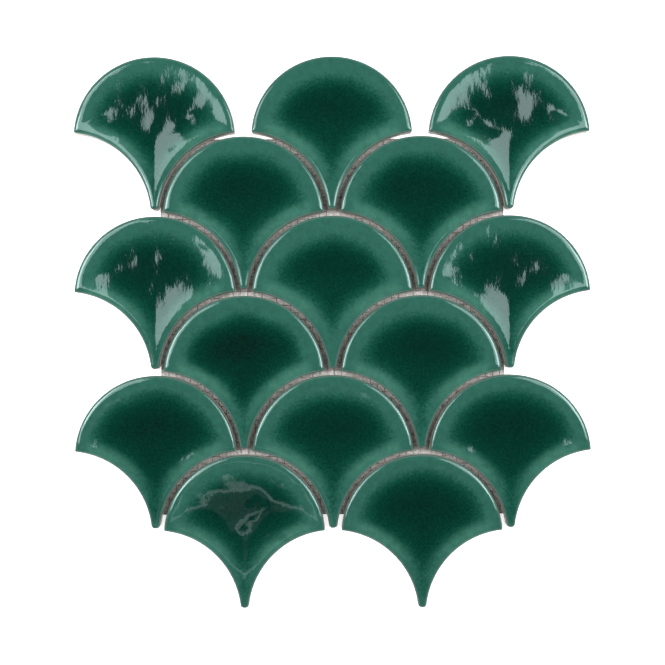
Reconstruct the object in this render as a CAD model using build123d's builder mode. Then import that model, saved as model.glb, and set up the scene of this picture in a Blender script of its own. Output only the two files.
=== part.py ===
from build123d import *
import os

# A sheet of fan mosaic, lying face up. Sizes in millimetres.
# X runs across the sheet, Y up its rows and Z out of the glazed face.

# One fan
fan_radius = 40.0  # round head
stem_width = 3.6  # the stem where it is narrowest
tile_thickness = 7.0  # at the rim
rim_bevel = 1.0  # sloped edge around the glazed face
corner_cut = 1.2  # taken off each side of the sharp corners of the outline
dish_run = 11.0  # slope from the rim down to the floor of the dish, seen from above
dish_depth = 0.9  # floor of the dish below the rim

# The pattern
rows = 6
fans_in_long_row = 3  # the rows between have one fan less
joint = 2.2  # gap between two fans, for the grout
row_nesting = 0.5  # what the rows are closer by than the radius of a head
tip_gap = 3.2  # from the end of a stem to the fan two rows below

# The net under the fans, which starts at the middle of the first row
net_thickness = 0.4
net_side_trim = 2.2  # its side edges inside the middle of the outer fans
net_bottom_trim = 9.6  # its bottom edge above the middle of the last row

# A fan's hollow sides run around the two fans of the next row that it stands between
hollow_radius = fan_radius + joint
column_pitch = 2 * hollow_radius + stem_width
row_pitch = fan_radius - row_nesting
next_row = [(-column_pitch / 2, -row_pitch), (column_pitch / 2, -row_pitch)]
stem_reach = 2 * row_pitch - tip_gap - fan_radius

# The dish starts inside the rim, along arcs around the same three middles
dish_head_radius = fan_radius - rim_bevel
dish_hollow_radius = hollow_radius + rim_bevel
hang_down = (Align.CENTER, Align.CENTER, Align.MAX)

# The origin is under the middle of the sheet
sheet_height = (rows - 1) * row_pitch + fan_radius + stem_reach
first_row_y = sheet_height / 2 - fan_radius
last_row_y = first_row_y - (rows - 1) * row_pitch

# The dish falls at one slope from the head and from both hollow sides
with BuildPart() as dish:
    Cone(dish_head_radius - dish_run, dish_head_radius, dish_depth, align=hang_down)
    with Locations(*next_row):
        Cone(
            dish_hollow_radius + dish_run,
            dish_hollow_radius,
            dish_depth,
            align=hang_down,
            mode=Mode.SUBTRACT,
        )

with BuildPart() as fan:
    with BuildSketch() as outline:
        Circle(fan_radius)
        with Locations(*next_row):
            Circle(hollow_radius, mode=Mode.SUBTRACT)
        with Locations((0, -stem_reach)):
            Rectangle(column_pitch, fan_radius, align=(Align.CENTER, Align.MAX), mode=Mode.SUBTRACT)
        chamfer(outline.vertices(), length=corner_cut)
    extrude(amount=tile_thickness)
    chamfer(fan.edges().group_by(Axis.Z)[-1], length=rim_bevel)
    with Locations((0, 0, tile_thickness)):
        add(dish.part, mode=Mode.SUBTRACT)

with BuildPart() as mesh_backing:
    with BuildSketch():
        with Locations((0, first_row_y)):
            Rectangle(
                (fans_in_long_row - 1) * column_pitch - 2 * net_side_trim,
                first_row_y - last_row_y - net_bottom_trim,
                align=(Align.CENTER, Align.MAX),
            )
    extrude(amount=net_thickness)

os.makedirs("parts", exist_ok=True)

mesh_backing.part.label = "mesh_backing"
export_step(mesh_backing.part, "parts/mesh_backing.step")

for row in range(rows):
    fans_in_row = fans_in_long_row - row % 2
    for column in range(fans_in_row):
        x = (column - (fans_in_row - 1) / 2) * column_pitch
        y = first_row_y - row * row_pitch
        with BuildPart() as tile:
            with Locations((x, y, net_thickness)):
                add(fan.part)
        tile.part.label = f"fan_tile_r{row + 1}_c{column + 1}"
        export_step(tile.part, f"parts/{tile.part.label}.step")
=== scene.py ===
import math

import bpy
import numpy as np
from mathutils import Matrix, Vector, geometry, noise


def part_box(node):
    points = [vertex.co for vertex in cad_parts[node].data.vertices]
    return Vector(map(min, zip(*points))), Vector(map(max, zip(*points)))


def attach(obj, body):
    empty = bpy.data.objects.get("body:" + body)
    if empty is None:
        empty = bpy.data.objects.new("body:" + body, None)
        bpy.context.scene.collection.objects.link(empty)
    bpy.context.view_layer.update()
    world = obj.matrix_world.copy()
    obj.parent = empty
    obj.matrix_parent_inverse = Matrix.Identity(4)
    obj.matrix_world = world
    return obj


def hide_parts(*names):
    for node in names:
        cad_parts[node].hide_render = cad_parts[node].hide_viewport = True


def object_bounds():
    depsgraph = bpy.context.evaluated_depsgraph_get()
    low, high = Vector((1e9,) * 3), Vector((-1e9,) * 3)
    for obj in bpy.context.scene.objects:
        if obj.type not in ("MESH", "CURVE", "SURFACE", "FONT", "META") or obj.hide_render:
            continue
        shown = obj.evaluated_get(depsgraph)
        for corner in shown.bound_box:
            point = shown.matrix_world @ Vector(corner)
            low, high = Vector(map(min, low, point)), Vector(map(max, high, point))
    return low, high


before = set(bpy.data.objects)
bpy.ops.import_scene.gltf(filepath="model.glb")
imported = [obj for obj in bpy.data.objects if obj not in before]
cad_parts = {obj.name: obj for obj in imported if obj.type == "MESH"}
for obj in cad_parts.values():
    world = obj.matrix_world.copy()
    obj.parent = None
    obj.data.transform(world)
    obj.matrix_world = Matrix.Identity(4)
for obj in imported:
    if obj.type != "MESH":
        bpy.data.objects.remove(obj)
low_before, high_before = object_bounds()

MM = 0.001

# One fan, in millimetres from the middle of its round head
FAN_RADIUS = 40.0
JOINT = 2.2
STEM_WIDTH = 3.6
ROW_NESTING = 0.5
TIP_GAP = 3.2
CORNER = 0.7
FOOT_CORNER = 1.8
HOLLOW_RADIUS = FAN_RADIUS + JOINT
COLUMN_PITCH = 2 * HOLLOW_RADIUS + STEM_WIDTH
ROW_PITCH = FAN_RADIUS - ROW_NESTING
STEM_REACH = 2 * ROW_PITCH - TIP_GAP - FAN_RADIUS
NEXT_FAN = np.array((COLUMN_PITCH / 2, -ROW_PITCH))
MIRROR = np.array((-1.0, 1.0))

# The mesh of a fan, in millimetres where it is a length
COARSER = 1
FACE_STEP = 0.8 * COARSER
RIM_STEP = 0.7 * COARSER
LEAST_ARC_STEPS = 3
RIM_RINGS = (0.1, 0.28, 0.52, 0.85, 1.25, 1.8, 2.4)  # insets of the rows of points along the rim
RING_KEPT = 0.93  # a point of a ring stays if it lies this share of the ring's inset from the edge
FIELD_GAP = 0.4  # steps between the last ring and the points of the field
TRIANGLE_HEIGHT = math.sqrt(0.75)  # of a triangle with equal sides of 1
WALL_LEVELS = (0.75, 0.5, 0.0)  # rows of points down the wall, as shares of its height
INSIDE_ONLY = 1  # Blender's code for triangles that lie inside the loop
MERGE_DISTANCE = 1e-6

# The glazed face: a rolled rim, then a dish whose slope changes with the distance from the rim
ROLL_WIDTH = 3.2
STEM_ROLL_WIDTH = 1.9
ROLL_WIDENS = (-34.0, -22.0)  # places up the fan where the roll starts and stops getting wider
ROLL_DROP = 1.3
HOLLOW_BLEND = 1.0  # softness of the crease between the slopes of the two hollow sides
DISH_HEAD_LEAD = 1.3  # how much nearer to the rim the dish starts, along the head
DISH_HOLLOW_LEAD = 0.5  # the same along the hollow sides
DISH_BLEND = 1.1
DISH_SAMPLES = 801
SLOPE_PLACES = (0.0, 2.2, 6.0, 7.5, 9.5, 13.0, 20.7, FAN_RADIUS)
SLOPES = (0.0, 0.0, 0.088, 0.088, 0.064, 0.06, 0.0, 0.0)
FACE_DROP = 0.1  # how much lower the face lies inside the rim

# Unevenness of the face, in millimetres
SWELL = 0.144
SWELL_SIZE = 9.0
RIPPLE = 0.012
RIPPLE_SIZE = 2.2
RIPPLE_LENGTH = 4.5
CALM_RIM = (0.4, 4.0)  # insets between which the unevenness sets in
CALM_STEM = (-4.0, 10.0)  # places down the fan between which it gets weaker
CALM_STEM_SHARE = 0.7
NOISE_START = (0.0, 0.0, 0.5)
NOISE_STEP = (13.7, 7.3, 3.1)  # how far the noise is moved for each seed
RIPPLE_SEED = 0.37  # these three are added to a tile's seed
WANDER_SEED = 0.59
FRAY_SEED = 0.83

# Seeds picked for where the reflections fall. The other tiles take their number.
SWELL_SEEDS = {
    "fan_tile_r1_c1": 456,
    "fan_tile_r1_c3": 1252,
    "fan_tile_r2_c1": 105,
    "fan_tile_r2_c2": 86,
    "fan_tile_r3_c1": 620,
    "fan_tile_r3_c3": 10,
    "fan_tile_r4_c1": 18,
    "fan_tile_r4_c2": 22,
    "fan_tile_r5_c1": 124,
    "fan_tile_r5_c3": 148,
    "fan_tile_r6_c1": 1861,
}

# How the glaze pooled: a wide pool, a darker core and a tail down the stem, as insets in millimetres
POOL_FULL = 26.0  # inset of the deepest colour
POOL_HEAD_LAG = 1.8
POOL_HOLLOW_LEAD = 2.0
POOL_BLEND = 2.5
POOL_LEVEL = 16.5  # where the wide pool levels off
POOL_LEVEL_BLEND = 1.5
CORE_DEPTH = 5.5
CORE_PLACE = 15.0  # above the middle of the head
CORE_HALF_WIDTH = 18.0
CORE_HALF_HEIGHT = 8.5
TAIL_DEPTH = 2.6
TAIL_REACH = (17.0, 27.0)  # places down the fan between which the tail sets in
WANDER = 1.4
WANDER_SIZE = 14.0
FRAY = 0.5
FRAY_SIZE = 4.0
WANDER_STARTS = (2.0, 7.0)  # insets between which wander and fray set in

# Tiles whose pool differs from the rest
POOL_SHIFT = {
    "fan_tile_r1_c2": -1.0,
    "fan_tile_r3_c2": -2.0,
    "fan_tile_r4_c1": -2.2,
    "fan_tile_r5_c1": 1.6,
    "fan_tile_r5_c3": 1.2,
    "fan_tile_r6_c2": 1.0,
}
POOL_GAIN = {"fan_tile_r4_c1": 1.35}

# Where the glaze drained thin
THIN_BESIDE = (2.5, 8.5)  # insets from a hollow side between which it gets thick again
THIN_HEAD = (3.0, 9.0)  # insets from the head between which it sets in
THIN_STEM = (-18.0, -3.0)  # places up the fan between which it sets in

# Colours as they show, from 0 to 255, the glaze's by its depth
GLAZE_COLOURS = (
    (0.00, (52, 106, 92)),
    (0.17, (52, 106, 92)),
    (0.24, (44, 98, 84)),
    (0.32, (29, 84, 69)),
    (0.39, (17, 72, 57)),
    (0.45, (12, 66, 52)),
    (0.51, (7, 57, 44)),
    (0.70, (5, 47, 36)),
    (0.85, (5, 41, 32)),
    (1.00, (7, 31, 24)),
)
GRAIN_COLOUR = (24, 100, 86)
THIN_COLOUR = (68, 124, 107)
SPECKLE_COLOUR = (0, 24, 18)
EDGE_COLOUR = (112, 118, 112)
DARK_CLAY = (168, 164, 157)
LIGHT_CLAY = (192, 188, 181)
DARK_FILM = (158, 154, 151)
LIGHT_FILM = (204, 200, 197)
DARK_THREAD = (96, 91, 88)
LIGHT_THREAD = (170, 165, 161)
GLAZE_SHARE = 0.6  # the lights brighten the glaze, so its colours go in at this share

# How display levels become light
FULL_LEVEL = 255
SRGB_CUT = 0.04045
SRGB_SLOPE = 12.92
SRGB_OFFSET = 0.055
SRGB_POWER = 2.4

# Noises of the materials: grains in a metre, detail and roughness
MOTTLE_NOISE = (900.0, 3.0, 0.6)
THIN_NOISE = (160.0, 2.0, 0.5)
SPECKLE_NOISE = (330.0, 4.0, 0.75)
DRIP_NOISE = (300.0, 2.0, 0.5)
CLAY_NOISE = (1500.0, 4.0, 0.7)
PEEL_NOISE = (800.0, 2.0, 0.5)
FILM_NOISE = (800.0, 3.0, 0.5)
THREAD_NOISE = (260.0, 2.0, 0.5)
EVEN = (1.0, 1.0, 1.0)
PEEL_STRETCH = (1.0, 0.4, 1.0)

# The levels of those noises that are used
WHOLE = (0.0, 1.0)
MOTTLE_LEVELS = (0.2, 0.8)
GRAIN_LEVELS = (0.3, 0.7)
THIN_LEVELS = (0.25, 0.6)
SPECKLE_LEVELS = (0.3, 0.7)
DRIP_LEVELS = (0.2, 0.8)
CLAY_LEVELS = (0.35, 0.65)
FILM_LEVELS = (0.3, 0.7)
THREAD_LEVELS = (0.35, 0.65)

# What they are turned into, heights in metres
MOTTLE_DEPTHS = (-0.075, 0.075)
GRAIN_SHARES = (0.1, 0.0)
THIN_SHARES = (0.45, 1.0)
SPECKLE_SHARES = (0.0, 0.22)
DRIP_HEIGHTS = (-0.0004, 0.0004)
EDGE_INSETS = (0.1, 1.1)
EDGE_SHARES = (0.45, 0.0)
COAT_ENDS = (0.0047, 0.0053)  # heights on the wall between bare clay and glaze
THREAD_STARTS = (0.00022, 0.00026)  # heights between the film and the threads
CLAY_ROUGHNESS = 0.85
GLAZE_ROUGHNESS = 0.05
NET_ROUGHNESS = 0.8
GLAZE_REFRACTION = 1.5
GLAZE_TINT = (0.79, 1.0, 1.0, 1.0)
PEEL_STRENGTH = 0.6
PEEL_HEIGHT = 0.00003
RAMP_MIDDLE = 0.5  # where a stop of a ramp lies until it is placed

# The net
NET_PITCH = 3.6 * MM
THREAD_WIDTH = 0.4 * MM
THREAD_THICKNESS = 0.1 * MM
FILM_THICKNESS = 0.2 * MM
BOX_SIDES = ((3, 2, 1, 0), (4, 5, 6, 7), (0, 1, 5, 4), (1, 2, 6, 5), (2, 3, 7, 6), (3, 0, 4, 7))

# The floor, in metres
FLOOR_HALF = 2.0
FLOOR_Z = -0.0002
FLOOR_COLOUR = (0.85, 0.85, 0.85, 1.0)
FLOOR_ROUGHNESS = 0.9
FLOOR_GLOW = 0.6
WHITE = (1.0, 1.0, 1.0, 1.0)

# The lights, in metres. The side panels lie along a slanted line on the right, and mirrored on the left.
LIGHT_HEIGHT = 0.9 + high_before.z
PANEL_TURN = math.radians(5.8)
PANEL_CORNER = (0.286, -0.032)
SIDE_PANELS = (  # name, start and length along the line, distance outward and depth, radiance
    ("inner", 0.0, 0.39, 0.0, 0.27, 5.5),
    ("outer", 0.0, 0.39, 0.27, 0.5, 17.0),
    ("upper", 0.4, 0.22, 0.1, 0.5, 9.0),
    ("lower", -0.1, 0.1, 0.27, 0.5, 8.0),
)
FRONT_CARDS = (  # name, place across and up the sheet, length, depth, radiance
    ("lamp_strip", -0.116, -0.254, 0.26, 0.01, 2.4),
    ("dim_card", -0.125, -0.222, 0.09, 0.05, 0.3),
    ("patch_card", -0.12, -0.267, 0.1, 0.015, 1.5),
)
GLOW_HEIGHTS = (0.45, 0.82)  # heights of a direction where the room's glow starts to fade and has faded
GLOW_STRENGTHS = (1.2, 0.01)

# The camera, in metres, looking straight down
EYE_HEIGHT = 0.55  # above the glazed faces
EYE_PLACE = (0.0, -0.0003)
EYE_TURN = math.radians(-0.22)
FRAME_WIDTH = 0.3287  # what the picture shows across at the glazed faces
SENSOR_WIDTH = 36.0
NEAREST, FARTHEST = 0.01, 20.0


def circles_meet(first, first_radius, second, second_radius):
    """The point where two circles cross on the left of the way from first to second."""
    across = second - first
    gap = np.hypot(*across)
    along = (gap**2 + first_radius**2 - second_radius**2) / (2 * gap)
    aside = math.sqrt(first_radius**2 - along**2)
    unit = across / gap
    normal = np.array((-unit[1], unit[0]))
    return first + along * unit + aside * normal


def arc(middle, start, end, clockwise):
    """Points from start up to, not including, end."""
    first = math.atan2(*(start - middle)[::-1])
    last = math.atan2(*(end - middle)[::-1])
    turn = (first - last) % math.tau if clockwise else (last - first) % math.tau
    radius = np.hypot(*(start - middle))
    count = max(LEAST_ARC_STEPS, round(turn * radius / RIM_STEP))
    sign = -1 if clockwise else 1
    angles = first + sign * np.arange(count) * turn / count
    return middle + radius * np.column_stack((np.cos(angles), np.sin(angles)))


def on_hollow(point):
    """The point of the right hollow side nearest to the given one."""
    return NEXT_FAN + HOLLOW_RADIUS * (point - NEXT_FAN) / np.hypot(*(point - NEXT_FAN))


def fan_outline():
    """The fan's edge, counter-clockwise from the tip of the stem."""
    head = np.zeros(2)
    side = circles_meet(head, FAN_RADIUS - CORNER, NEXT_FAN, HOLLOW_RADIUS + CORNER)
    foot_y = FOOT_CORNER - STEM_REACH
    foot_x = NEXT_FAN[0] - math.sqrt((HOLLOW_RADIUS + FOOT_CORNER) ** 2 - (foot_y - NEXT_FAN[1]) ** 2)
    foot = np.array((foot_x, foot_y))
    tip = np.array((foot_x, -STEM_REACH))
    shoulder = FAN_RADIUS * side / np.hypot(*side)
    half = [
        arc(foot, tip, on_hollow(foot), False),
        arc(NEXT_FAN, on_hollow(foot), on_hollow(side), True),
        arc(side, on_hollow(side), shoulder, False),
    ]
    right = np.vstack(half)
    left = right[1:][::-1] * MIRROR
    over = arc(head, shoulder, shoulder * MIRROR, False)
    return np.vstack((right, over, (shoulder * MIRROR)[None], left, (tip * MIRROR)[None]))


def edge_distance(points, outline):
    """Distance of each point from the outline."""
    best = np.full(len(points), np.inf)
    for start, end in zip(outline, np.roll(outline, -1, axis=0)):
        run = end - start
        share = np.clip(((points - start) @ run) / (run @ run), 0, 1)
        best = np.minimum(best, np.hypot(*(points - start - share[:, None] * run).T))
    return best


def arc_distances(points):
    """Distances inward from the round head and from the right and the left hollow side."""
    head = FAN_RADIUS - np.hypot(*points.T)
    right = np.hypot(*(points - NEXT_FAN).T) - HOLLOW_RADIUS
    left = np.hypot(*(points - NEXT_FAN * MIRROR).T) - HOLLOW_RADIUS
    return head, right, left


def soft_least(first, second, softness):
    """The smaller of two distances, blended where they are alike."""
    return -softness * np.logaddexp(-first / softness, -second / softness)


def smooth(value, low, high):
    """0 at low and 1 at high, with no kink between."""
    share = np.clip((value - low) / (high - low), 0, 1)
    return share * share * (3 - 2 * share)


def inside(points):
    return np.minimum.reduce((*arc_distances(points), points[:, 1] + STEM_REACH)) > 0


def closed_loop(count):
    return [(here, (here + 1) % count) for here in range(count)]


def triangulate(points, count):
    """The points, and the triangles inside the loop of the first ones up to count."""
    corners = [Vector(point) for point in points]
    made = geometry.delaunay_2d_cdt(corners, closed_loop(count), [], INSIDE_ONLY, MERGE_DISTANCE)
    return np.array([tuple(point) for point in made[0]]), [tuple(face) for face in made[2]]


def fan_plan():
    """Points and triangles of the face from above, and how many of the first points are the outline."""
    outline = fan_outline()
    ahead = np.roll(outline, -1, axis=0) - np.roll(outline, 1, axis=0)
    inward = np.column_stack((-ahead[:, 1], ahead[:, 0]))
    inward /= np.hypot(*inward.T)[:, None]
    points = [outline]
    for ring in RIM_RINGS:
        moved = outline + ring * inward
        keep = inside(moved)
        keep[keep] = edge_distance(moved[keep], outline) > RING_KEPT * ring
        points.append(moved[keep])
    rows = []
    for index, y in enumerate(np.arange(-STEM_REACH, FAN_RADIUS, FACE_STEP * TRIANGLE_HEIGHT)):
        x = np.arange(-FAN_RADIUS, FAN_RADIUS, FACE_STEP) + (index % 2) * FACE_STEP / 2
        rows.append(np.column_stack((x, np.full(len(x), y))))
    field = np.vstack(rows)
    field = field[inside(field)]
    field = field[edge_distance(field, outline) > RIM_RINGS[-1] + FIELD_GAP * FACE_STEP]
    plan, faces = triangulate(np.vstack(points + [field]), len(outline))
    return plan, faces, len(outline)


PLAN, FACES, EDGE_COUNT = fan_plan()
OUTLINE = PLAN[:EDGE_COUNT]
BACK_FACES = triangulate(OUTLINE, EDGE_COUNT)[1]
INSET = edge_distance(PLAN, OUTLINE)
HEAD_INSET, RIGHT_INSET, LEFT_INSET = arc_distances(PLAN)
HOLLOW_INSET = soft_least(RIGHT_INSET, LEFT_INSET, HOLLOW_BLEND)
DISH_INSET = soft_least(HEAD_INSET + DISH_HEAD_LEAD, HOLLOW_INSET + DISH_HOLLOW_LEAD, DISH_BLEND)


def pool_inset():
    """The inset that the glaze's colour goes by."""
    x, y = PLAN.T
    wide = soft_least(HEAD_INSET - POOL_HEAD_LAG, HOLLOW_INSET + POOL_HOLLOW_LEAD, POOL_BLEND)
    wide = soft_least(wide, np.full(len(PLAN), POOL_LEVEL), POOL_LEVEL_BLEND)
    core = np.exp(-((x / CORE_HALF_WIDTH) ** 2) - ((y - CORE_PLACE) / CORE_HALF_HEIGHT) ** 2)
    return wide + CORE_DEPTH * core + TAIL_DEPTH * smooth(-y, *TAIL_REACH)


def dish_depth():
    """How far the dish has sunk at every point, from the slope added up."""
    places = np.linspace(0, FAN_RADIUS, DISH_SAMPLES)
    slopes = np.interp((places[1:] + places[:-1]) / 2, SLOPE_PLACES, SLOPES)
    sunk = np.concatenate(([0.0], np.cumsum(slopes * np.diff(places))))
    return np.interp(DISH_INSET, places, sunk)


def thin_glaze():
    """1 where the glaze drained off: beside the hollow sides, away from the head's rim and the stem."""
    beside = 1 - smooth(HOLLOW_INSET, *THIN_BESIDE)
    return beside * smooth(HEAD_INSET, *THIN_HEAD) * smooth(PLAN[:, 1], *THIN_STEM)


POOL_INSET = pool_inset()
DISH = dish_depth()
THIN = thin_glaze()


def noise_field(seed, size, length):
    """Smooth noise of about -1 to 1 over the face."""
    shift = Vector([start + step * seed for start, step in zip(NOISE_START, NOISE_STEP)])
    return np.array([noise.noise(Vector((x / size, y / length, 0)) + shift) for x, y in PLAN])


def face_height(seed):
    """Height of the face above the tile's highest line, in millimetres."""
    width = np.interp(PLAN[:, 1], ROLL_WIDENS, (STEM_ROLL_WIDTH, ROLL_WIDTH))
    into = np.clip(INSET / width, 0, 1)
    roll = ROLL_DROP * (1 - np.sqrt(1 - (1 - into) ** 2))
    swell = SWELL * noise_field(seed, SWELL_SIZE, SWELL_SIZE)
    ripple = RIPPLE * noise_field(seed + RIPPLE_SEED, RIPPLE_SIZE, RIPPLE_LENGTH)
    calm = smooth(INSET, *CALM_RIM)
    even = 1 - CALM_STEM_SHARE * smooth(-PLAN[:, 1], *CALM_STEM)
    return np.minimum(calm * (even * (swell + ripple) - FACE_DROP) - roll - DISH, 0)


def glaze_depth(node, seed):
    """0 where the glaze is thin, 1 where it has pooled deepest."""
    wander = WANDER * noise_field(seed + WANDER_SEED, WANDER_SIZE, WANDER_SIZE)
    wander = wander + FRAY * noise_field(seed + FRAY_SEED, FRAY_SIZE, FRAY_SIZE)
    depth = POOL_INSET + (wander + POOL_SHIFT.get(node, 0.0)) * smooth(POOL_INSET, *WANDER_STARTS)
    return np.clip(depth * POOL_GAIN.get(node, 1.0) / POOL_FULL, 0, 1)


def mesh_object(name, verts, faces, rounded):
    mesh = bpy.data.meshes.new(name)
    mesh.from_pydata(verts, [], faces)
    mesh.polygons.foreach_set("use_smooth", [rounded] * len(faces))
    piece = bpy.data.objects.new(name, mesh)
    bpy.context.scene.collection.objects.link(piece)
    return piece


def glazed_tile(node, number, material):
    """One fan: its glazed face, its wall and its flat back."""
    low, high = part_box(node)
    fit = min(span / MM / size for span, size in zip(high - low, np.ptp(OUTLINE, axis=0)))
    middle = np.array(((low.x + high.x) / 2 / MM, low.y / MM + fit * STEM_REACH))
    top, bottom = high.z / MM, low.z / MM
    seed = SWELL_SEEDS.get(node, number)
    face = np.column_stack((fit * PLAN + middle, top + face_height(seed)))
    rim = fit * OUTLINE + middle
    wall_height = face[:EDGE_COUNT, 2] - bottom
    walls = [np.column_stack((rim, bottom + level * wall_height)) for level in WALL_LEVELS]
    verts = np.vstack([face] + walls) * MM
    faces = list(FACES)
    upper = range(EDGE_COUNT)
    for index in range(len(WALL_LEVELS)):
        start = len(PLAN) + index * EDGE_COUNT
        lower = range(start, start + EDGE_COUNT)
        for here, ahead in closed_loop(EDGE_COUNT):
            faces.append((upper[ahead], upper[here], lower[here], lower[ahead]))
        upper = lower
    faces += [tuple(upper[corner] for corner in reversed(triangle)) for triangle in BACK_FACES]
    piece = mesh_object(node + "_glazed", verts.tolist(), faces, True)
    mesh = piece.data
    shading = {"glaze_depth": glaze_depth(node, seed), "thin_glaze": THIN, "inset": INSET}
    for name, values in shading.items():
        spread = np.zeros(len(verts))
        spread[: len(PLAN)] = values
        mesh.attributes.new(name, "FLOAT", "POINT").data.foreach_set("value", spread)
    back_ring = set(upper)
    sharp = [all(corner in back_ring for corner in edge.vertices) for edge in mesh.edges]
    mesh.attributes.new("sharp_edge", "BOOLEAN", "EDGE").data.foreach_set("value", sharp)
    mesh.materials.append(material)
    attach(piece, "root")
    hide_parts(node)


class Nodes:
    """The nodes of a material or of the world, added one call at a time."""

    def __init__(self, owner):
        owner.use_nodes = True
        self.owner = owner
        self.tree = owner.node_tree

    def add(self, kind, inputs=None, **settings):
        node = self.tree.nodes.new(kind)
        for key, value in settings.items():
            setattr(node, key, value)
        for key, value in (inputs or {}).items():
            self.put(node.inputs[key], value)
        return node

    def put(self, socket, value):
        if isinstance(value, bpy.types.NodeSocket):
            self.tree.links.new(value, socket)
        else:
            socket.default_value = value

    def shade(self, key, value):
        self.put(self.tree.nodes["Principled BSDF"].inputs[key], value)

    def math(self, operation, first, second):
        return self.add("ShaderNodeMath", {0: first, 1: second}, operation=operation).outputs[0]

    def span(self, value, levels, results=WHOLE):
        """The value's way from one level to the other, turned into the results."""
        ends = {"From Min": levels[0], "From Max": levels[1], "To Min": results[0], "To Max": results[1]}
        node = self.add("ShaderNodeMapRange", {"Value": value, **ends}, interpolation_type="SMOOTHSTEP")
        return node.outputs["Result"]

    def mix(self, share, first, second):
        node = self.add("ShaderNodeMix", data_type="RGBA")
        self.put(node.inputs["Factor"], share)
        self.put(node.inputs["A"], first)
        self.put(node.inputs["B"], second)
        return node.outputs["Result"]

    def where(self, kind):
        return self.add("ShaderNodeTexCoord").outputs[kind]

    def height(self, kind="Object"):
        return self.add("ShaderNodeSeparateXYZ", {0: self.where(kind)}).outputs["Z"]

    def noise(self, scale, detail, roughness, stretch=EVEN):
        stretched = {0: self.where("Object"), 1: stretch}
        place = self.add("ShaderNodeVectorMath", stretched, operation="MULTIPLY").outputs[0]
        inputs = {"Vector": place, "Scale": scale, "Detail": detail, "Roughness": roughness}
        return self.add("ShaderNodeTexNoise", inputs).outputs["Fac"]

    def ramp(self, value, stops):
        node = self.add("ShaderNodeValToRGB", {"Fac": value})
        elements = node.color_ramp.elements
        while len(elements) < len(stops):
            elements.new(RAMP_MIDDLE)
        for element, (place, colour) in zip(elements, stops):
            element.position = place
            element.color = colour
        return node.outputs["Color"]

    def attribute(self, name):
        return self.add("ShaderNodeAttribute", attribute_name=name).outputs["Fac"]

    def bump(self, height, strength, distance):
        node = self.add("ShaderNodeBump", {"Height": height, "Strength": strength, "Distance": distance})
        self.shade("Normal", node.outputs["Normal"])


def light_level(level):
    """One display level of 0 to 255 as a share of full light."""
    share = level / FULL_LEVEL
    if share <= SRGB_CUT:
        return share / SRGB_SLOPE
    return ((share + SRGB_OFFSET) / (1 + SRGB_OFFSET)) ** SRGB_POWER


def linear(colour, share=1.0):
    """A display colour as the shader wants it, at the given share."""
    red, green, blue = (share * light_level(level) for level in colour)
    return (red, green, blue, 1.0)


def glaze_material():
    nodes = Nodes(bpy.data.materials.new("green_glaze"))
    mottle = nodes.noise(*MOTTLE_NOISE)
    mottled = nodes.span(mottle, MOTTLE_LEVELS, MOTTLE_DEPTHS)
    depth = nodes.math("ADD", nodes.attribute("glaze_depth"), mottled)
    stops = [(place, linear(colour, GLAZE_SHARE)) for place, colour in GLAZE_COLOURS]
    green = nodes.ramp(depth, stops)
    grain = nodes.span(mottle, GRAIN_LEVELS, GRAIN_SHARES)
    green = nodes.mix(grain, green, linear(GRAIN_COLOUR, GLAZE_SHARE))
    patchy = nodes.span(nodes.noise(*THIN_NOISE), THIN_LEVELS, THIN_SHARES)
    thin = nodes.math("MULTIPLY", nodes.attribute("thin_glaze"), patchy)
    green = nodes.mix(thin, green, linear(THIN_COLOUR, GLAZE_SHARE))
    speckle = nodes.span(nodes.noise(*SPECKLE_NOISE), SPECKLE_LEVELS, SPECKLE_SHARES)
    green = nodes.mix(speckle, green, linear(SPECKLE_COLOUR))
    edge = nodes.span(nodes.attribute("inset"), EDGE_INSETS, EDGE_SHARES)
    glaze = nodes.mix(edge, green, linear(EDGE_COLOUR, GLAZE_SHARE))
    uneven = nodes.span(nodes.noise(*DRIP_NOISE), DRIP_LEVELS, DRIP_HEIGHTS)
    coat = nodes.span(nodes.math("ADD", nodes.height(), uneven), COAT_ENDS)
    clay_grain = nodes.span(nodes.noise(*CLAY_NOISE), CLAY_LEVELS)
    clay = nodes.mix(clay_grain, linear(DARK_CLAY), linear(LIGHT_CLAY))
    nodes.shade("Base Color", nodes.mix(coat, clay, glaze))
    nodes.shade("Roughness", nodes.span(coat, WHOLE, (CLAY_ROUGHNESS, GLAZE_ROUGHNESS)))
    nodes.shade("IOR", GLAZE_REFRACTION)
    nodes.shade("Specular Tint", GLAZE_TINT)
    nodes.bump(nodes.noise(*PEEL_NOISE, PEEL_STRETCH), PEEL_STRENGTH, PEEL_HEIGHT)
    return nodes.owner


def net_material():
    nodes = Nodes(bpy.data.materials.new("backing_net"))
    film_grain = nodes.span(nodes.noise(*FILM_NOISE), FILM_LEVELS)
    film = nodes.mix(film_grain, linear(DARK_FILM), linear(LIGHT_FILM))
    thread_grain = nodes.span(nodes.noise(*THREAD_NOISE), THREAD_LEVELS)
    thread = nodes.mix(thread_grain, linear(DARK_THREAD), linear(LIGHT_THREAD))
    nodes.shade("Base Color", nodes.mix(nodes.span(nodes.height(), THREAD_STARTS), film, thread))
    nodes.shade("Roughness", NET_ROUGHNESS)
    return nodes.owner


def add_bar(verts, faces, low, high):
    """A block between two opposite corners."""
    start = len(verts)
    (x0, y0, z0), (x1, y1, z1) = low, high
    for z in (z0, z1):
        verts.extend(((x0, y0, z), (x1, y0, z), (x1, y1, z), (x0, y1, z)))
    faces.extend(tuple(start + corner for corner in side) for side in BOX_SIDES)


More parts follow.
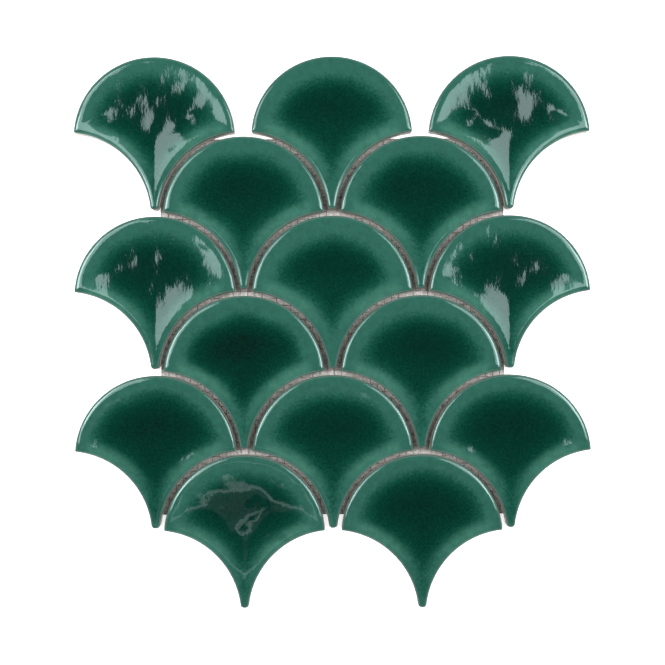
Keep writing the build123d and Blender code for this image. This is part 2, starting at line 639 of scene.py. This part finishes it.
def net():
    """Crossing threads in two layers on a film of glue."""
    low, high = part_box("mesh_backing")
    film = low.z + FILM_THICKNESS
    layer = film + THREAD_THICKNESS
    verts, faces = [], []
    add_bar(verts, faces, low, (high.x, high.y, film))
    for index in range(round((high.x - low.x) / NET_PITCH) + 1):
        x = min(low.x + index * NET_PITCH, high.x - THREAD_WIDTH)
        add_bar(verts, faces, (x, low.y, film), (x + THREAD_WIDTH, high.y, layer))
    for index in range(round((high.y - low.y) / NET_PITCH) + 1):
        y = min(low.y + index * NET_PITCH, high.y - THREAD_WIDTH)
        add_bar(verts, faces, (low.x, y, layer), (high.x, y + THREAD_WIDTH, high.z))
    piece = mesh_object("mesh_backing_net", verts, faces, False)
    piece.data.materials.append(net_material())
    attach(piece, "root")
    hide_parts("mesh_backing")


def floor():
    nodes = Nodes(bpy.data.materials.new("floor"))
    nodes.shade("Base Color", FLOOR_COLOUR)
    nodes.shade("Roughness", FLOOR_ROUGHNESS)
    nodes.shade("Specular IOR Level", 0.0)
    nodes.shade("Emission Color", WHITE)
    nodes.shade("Emission Strength", FLOOR_GLOW)
    signs = ((-1, -1), (1, -1), (1, 1), (-1, 1))
    corners = [(x * FLOOR_HALF, y * FLOOR_HALF, FLOOR_Z) for x, y in signs]
    ground = mesh_object("floor", corners, [(0, 1, 2, 3)], True)
    ground.data.materials.append(nodes.owner)


def panel(name, middle, along, length, depth, radiance):
    """A flat light that faces down, its length along the given direction."""
    light = bpy.data.lights.new(name, "AREA")
    light.shape = "RECTANGLE"
    light.size, light.size_y = depth, length
    light.energy = radiance * math.pi * depth * length
    lamp = bpy.data.objects.new(name, light)
    up = Vector((0, 0, 1))
    axes = Matrix((along.cross(up), along, up)).transposed()
    lamp.matrix_world = Matrix.Translation(middle) @ axes.to_4x4()
    bpy.context.scene.collection.objects.link(lamp)


def studio():
    """The lights over the sheet, and the room's glow, which is dark straight above."""
    corner_x, corner_y = PANEL_CORNER
    for name, side in (("left", -1), ("right", 1)):
        corner = Vector((side * corner_x, corner_y, LIGHT_HEIGHT))
        along = Vector((-side * math.sin(PANEL_TURN), math.cos(PANEL_TURN), 0))
        outward = Vector((side * math.cos(PANEL_TURN), math.sin(PANEL_TURN), 0))
        for part, start, length, near, depth, radiance in SIDE_PANELS:
            middle = corner + along * (start + length / 2) + outward * (near + depth / 2)
            panel(f"{name}_{part}", middle, along, length, depth, radiance)
    across = Vector((1, 0, 0))
    for name, x, y, length, depth, radiance in FRONT_CARDS:
        panel(name, Vector((x, y, LIGHT_HEIGHT)), across, length, depth, radiance)
    nodes = Nodes(bpy.data.worlds.new("studio"))
    glow = nodes.span(nodes.height("Generated"), GLOW_HEIGHTS, GLOW_STRENGTHS)
    background = nodes.tree.nodes["Background"]
    nodes.put(background.inputs["Strength"], glow)
    nodes.put(background.inputs["Color"], WHITE)
    bpy.context.scene.world = nodes.owner


def camera():
    data = bpy.data.cameras.new("camera")
    data.sensor_width = SENSOR_WIDTH
    data.lens = SENSOR_WIDTH * EYE_HEIGHT / FRAME_WIDTH
    data.clip_start, data.clip_end = NEAREST, FARTHEST
    eye = bpy.data.objects.new("camera", data)
    eye.location = (*EYE_PLACE, high_before.z + EYE_HEIGHT)
    eye.rotation_euler = (0.0, 0.0, EYE_TURN)
    bpy.context.scene.collection.objects.link(eye)
    bpy.context.scene.camera = eye


glaze = glaze_material()
tiles = sorted(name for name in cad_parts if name.startswith("fan_tile"))
for number, node in enumerate(tiles):
    glazed_tile(node, number, glaze)
net()
floor()
studio()
camera()
bpy.context.scene.view_settings.view_transform = "Standard"
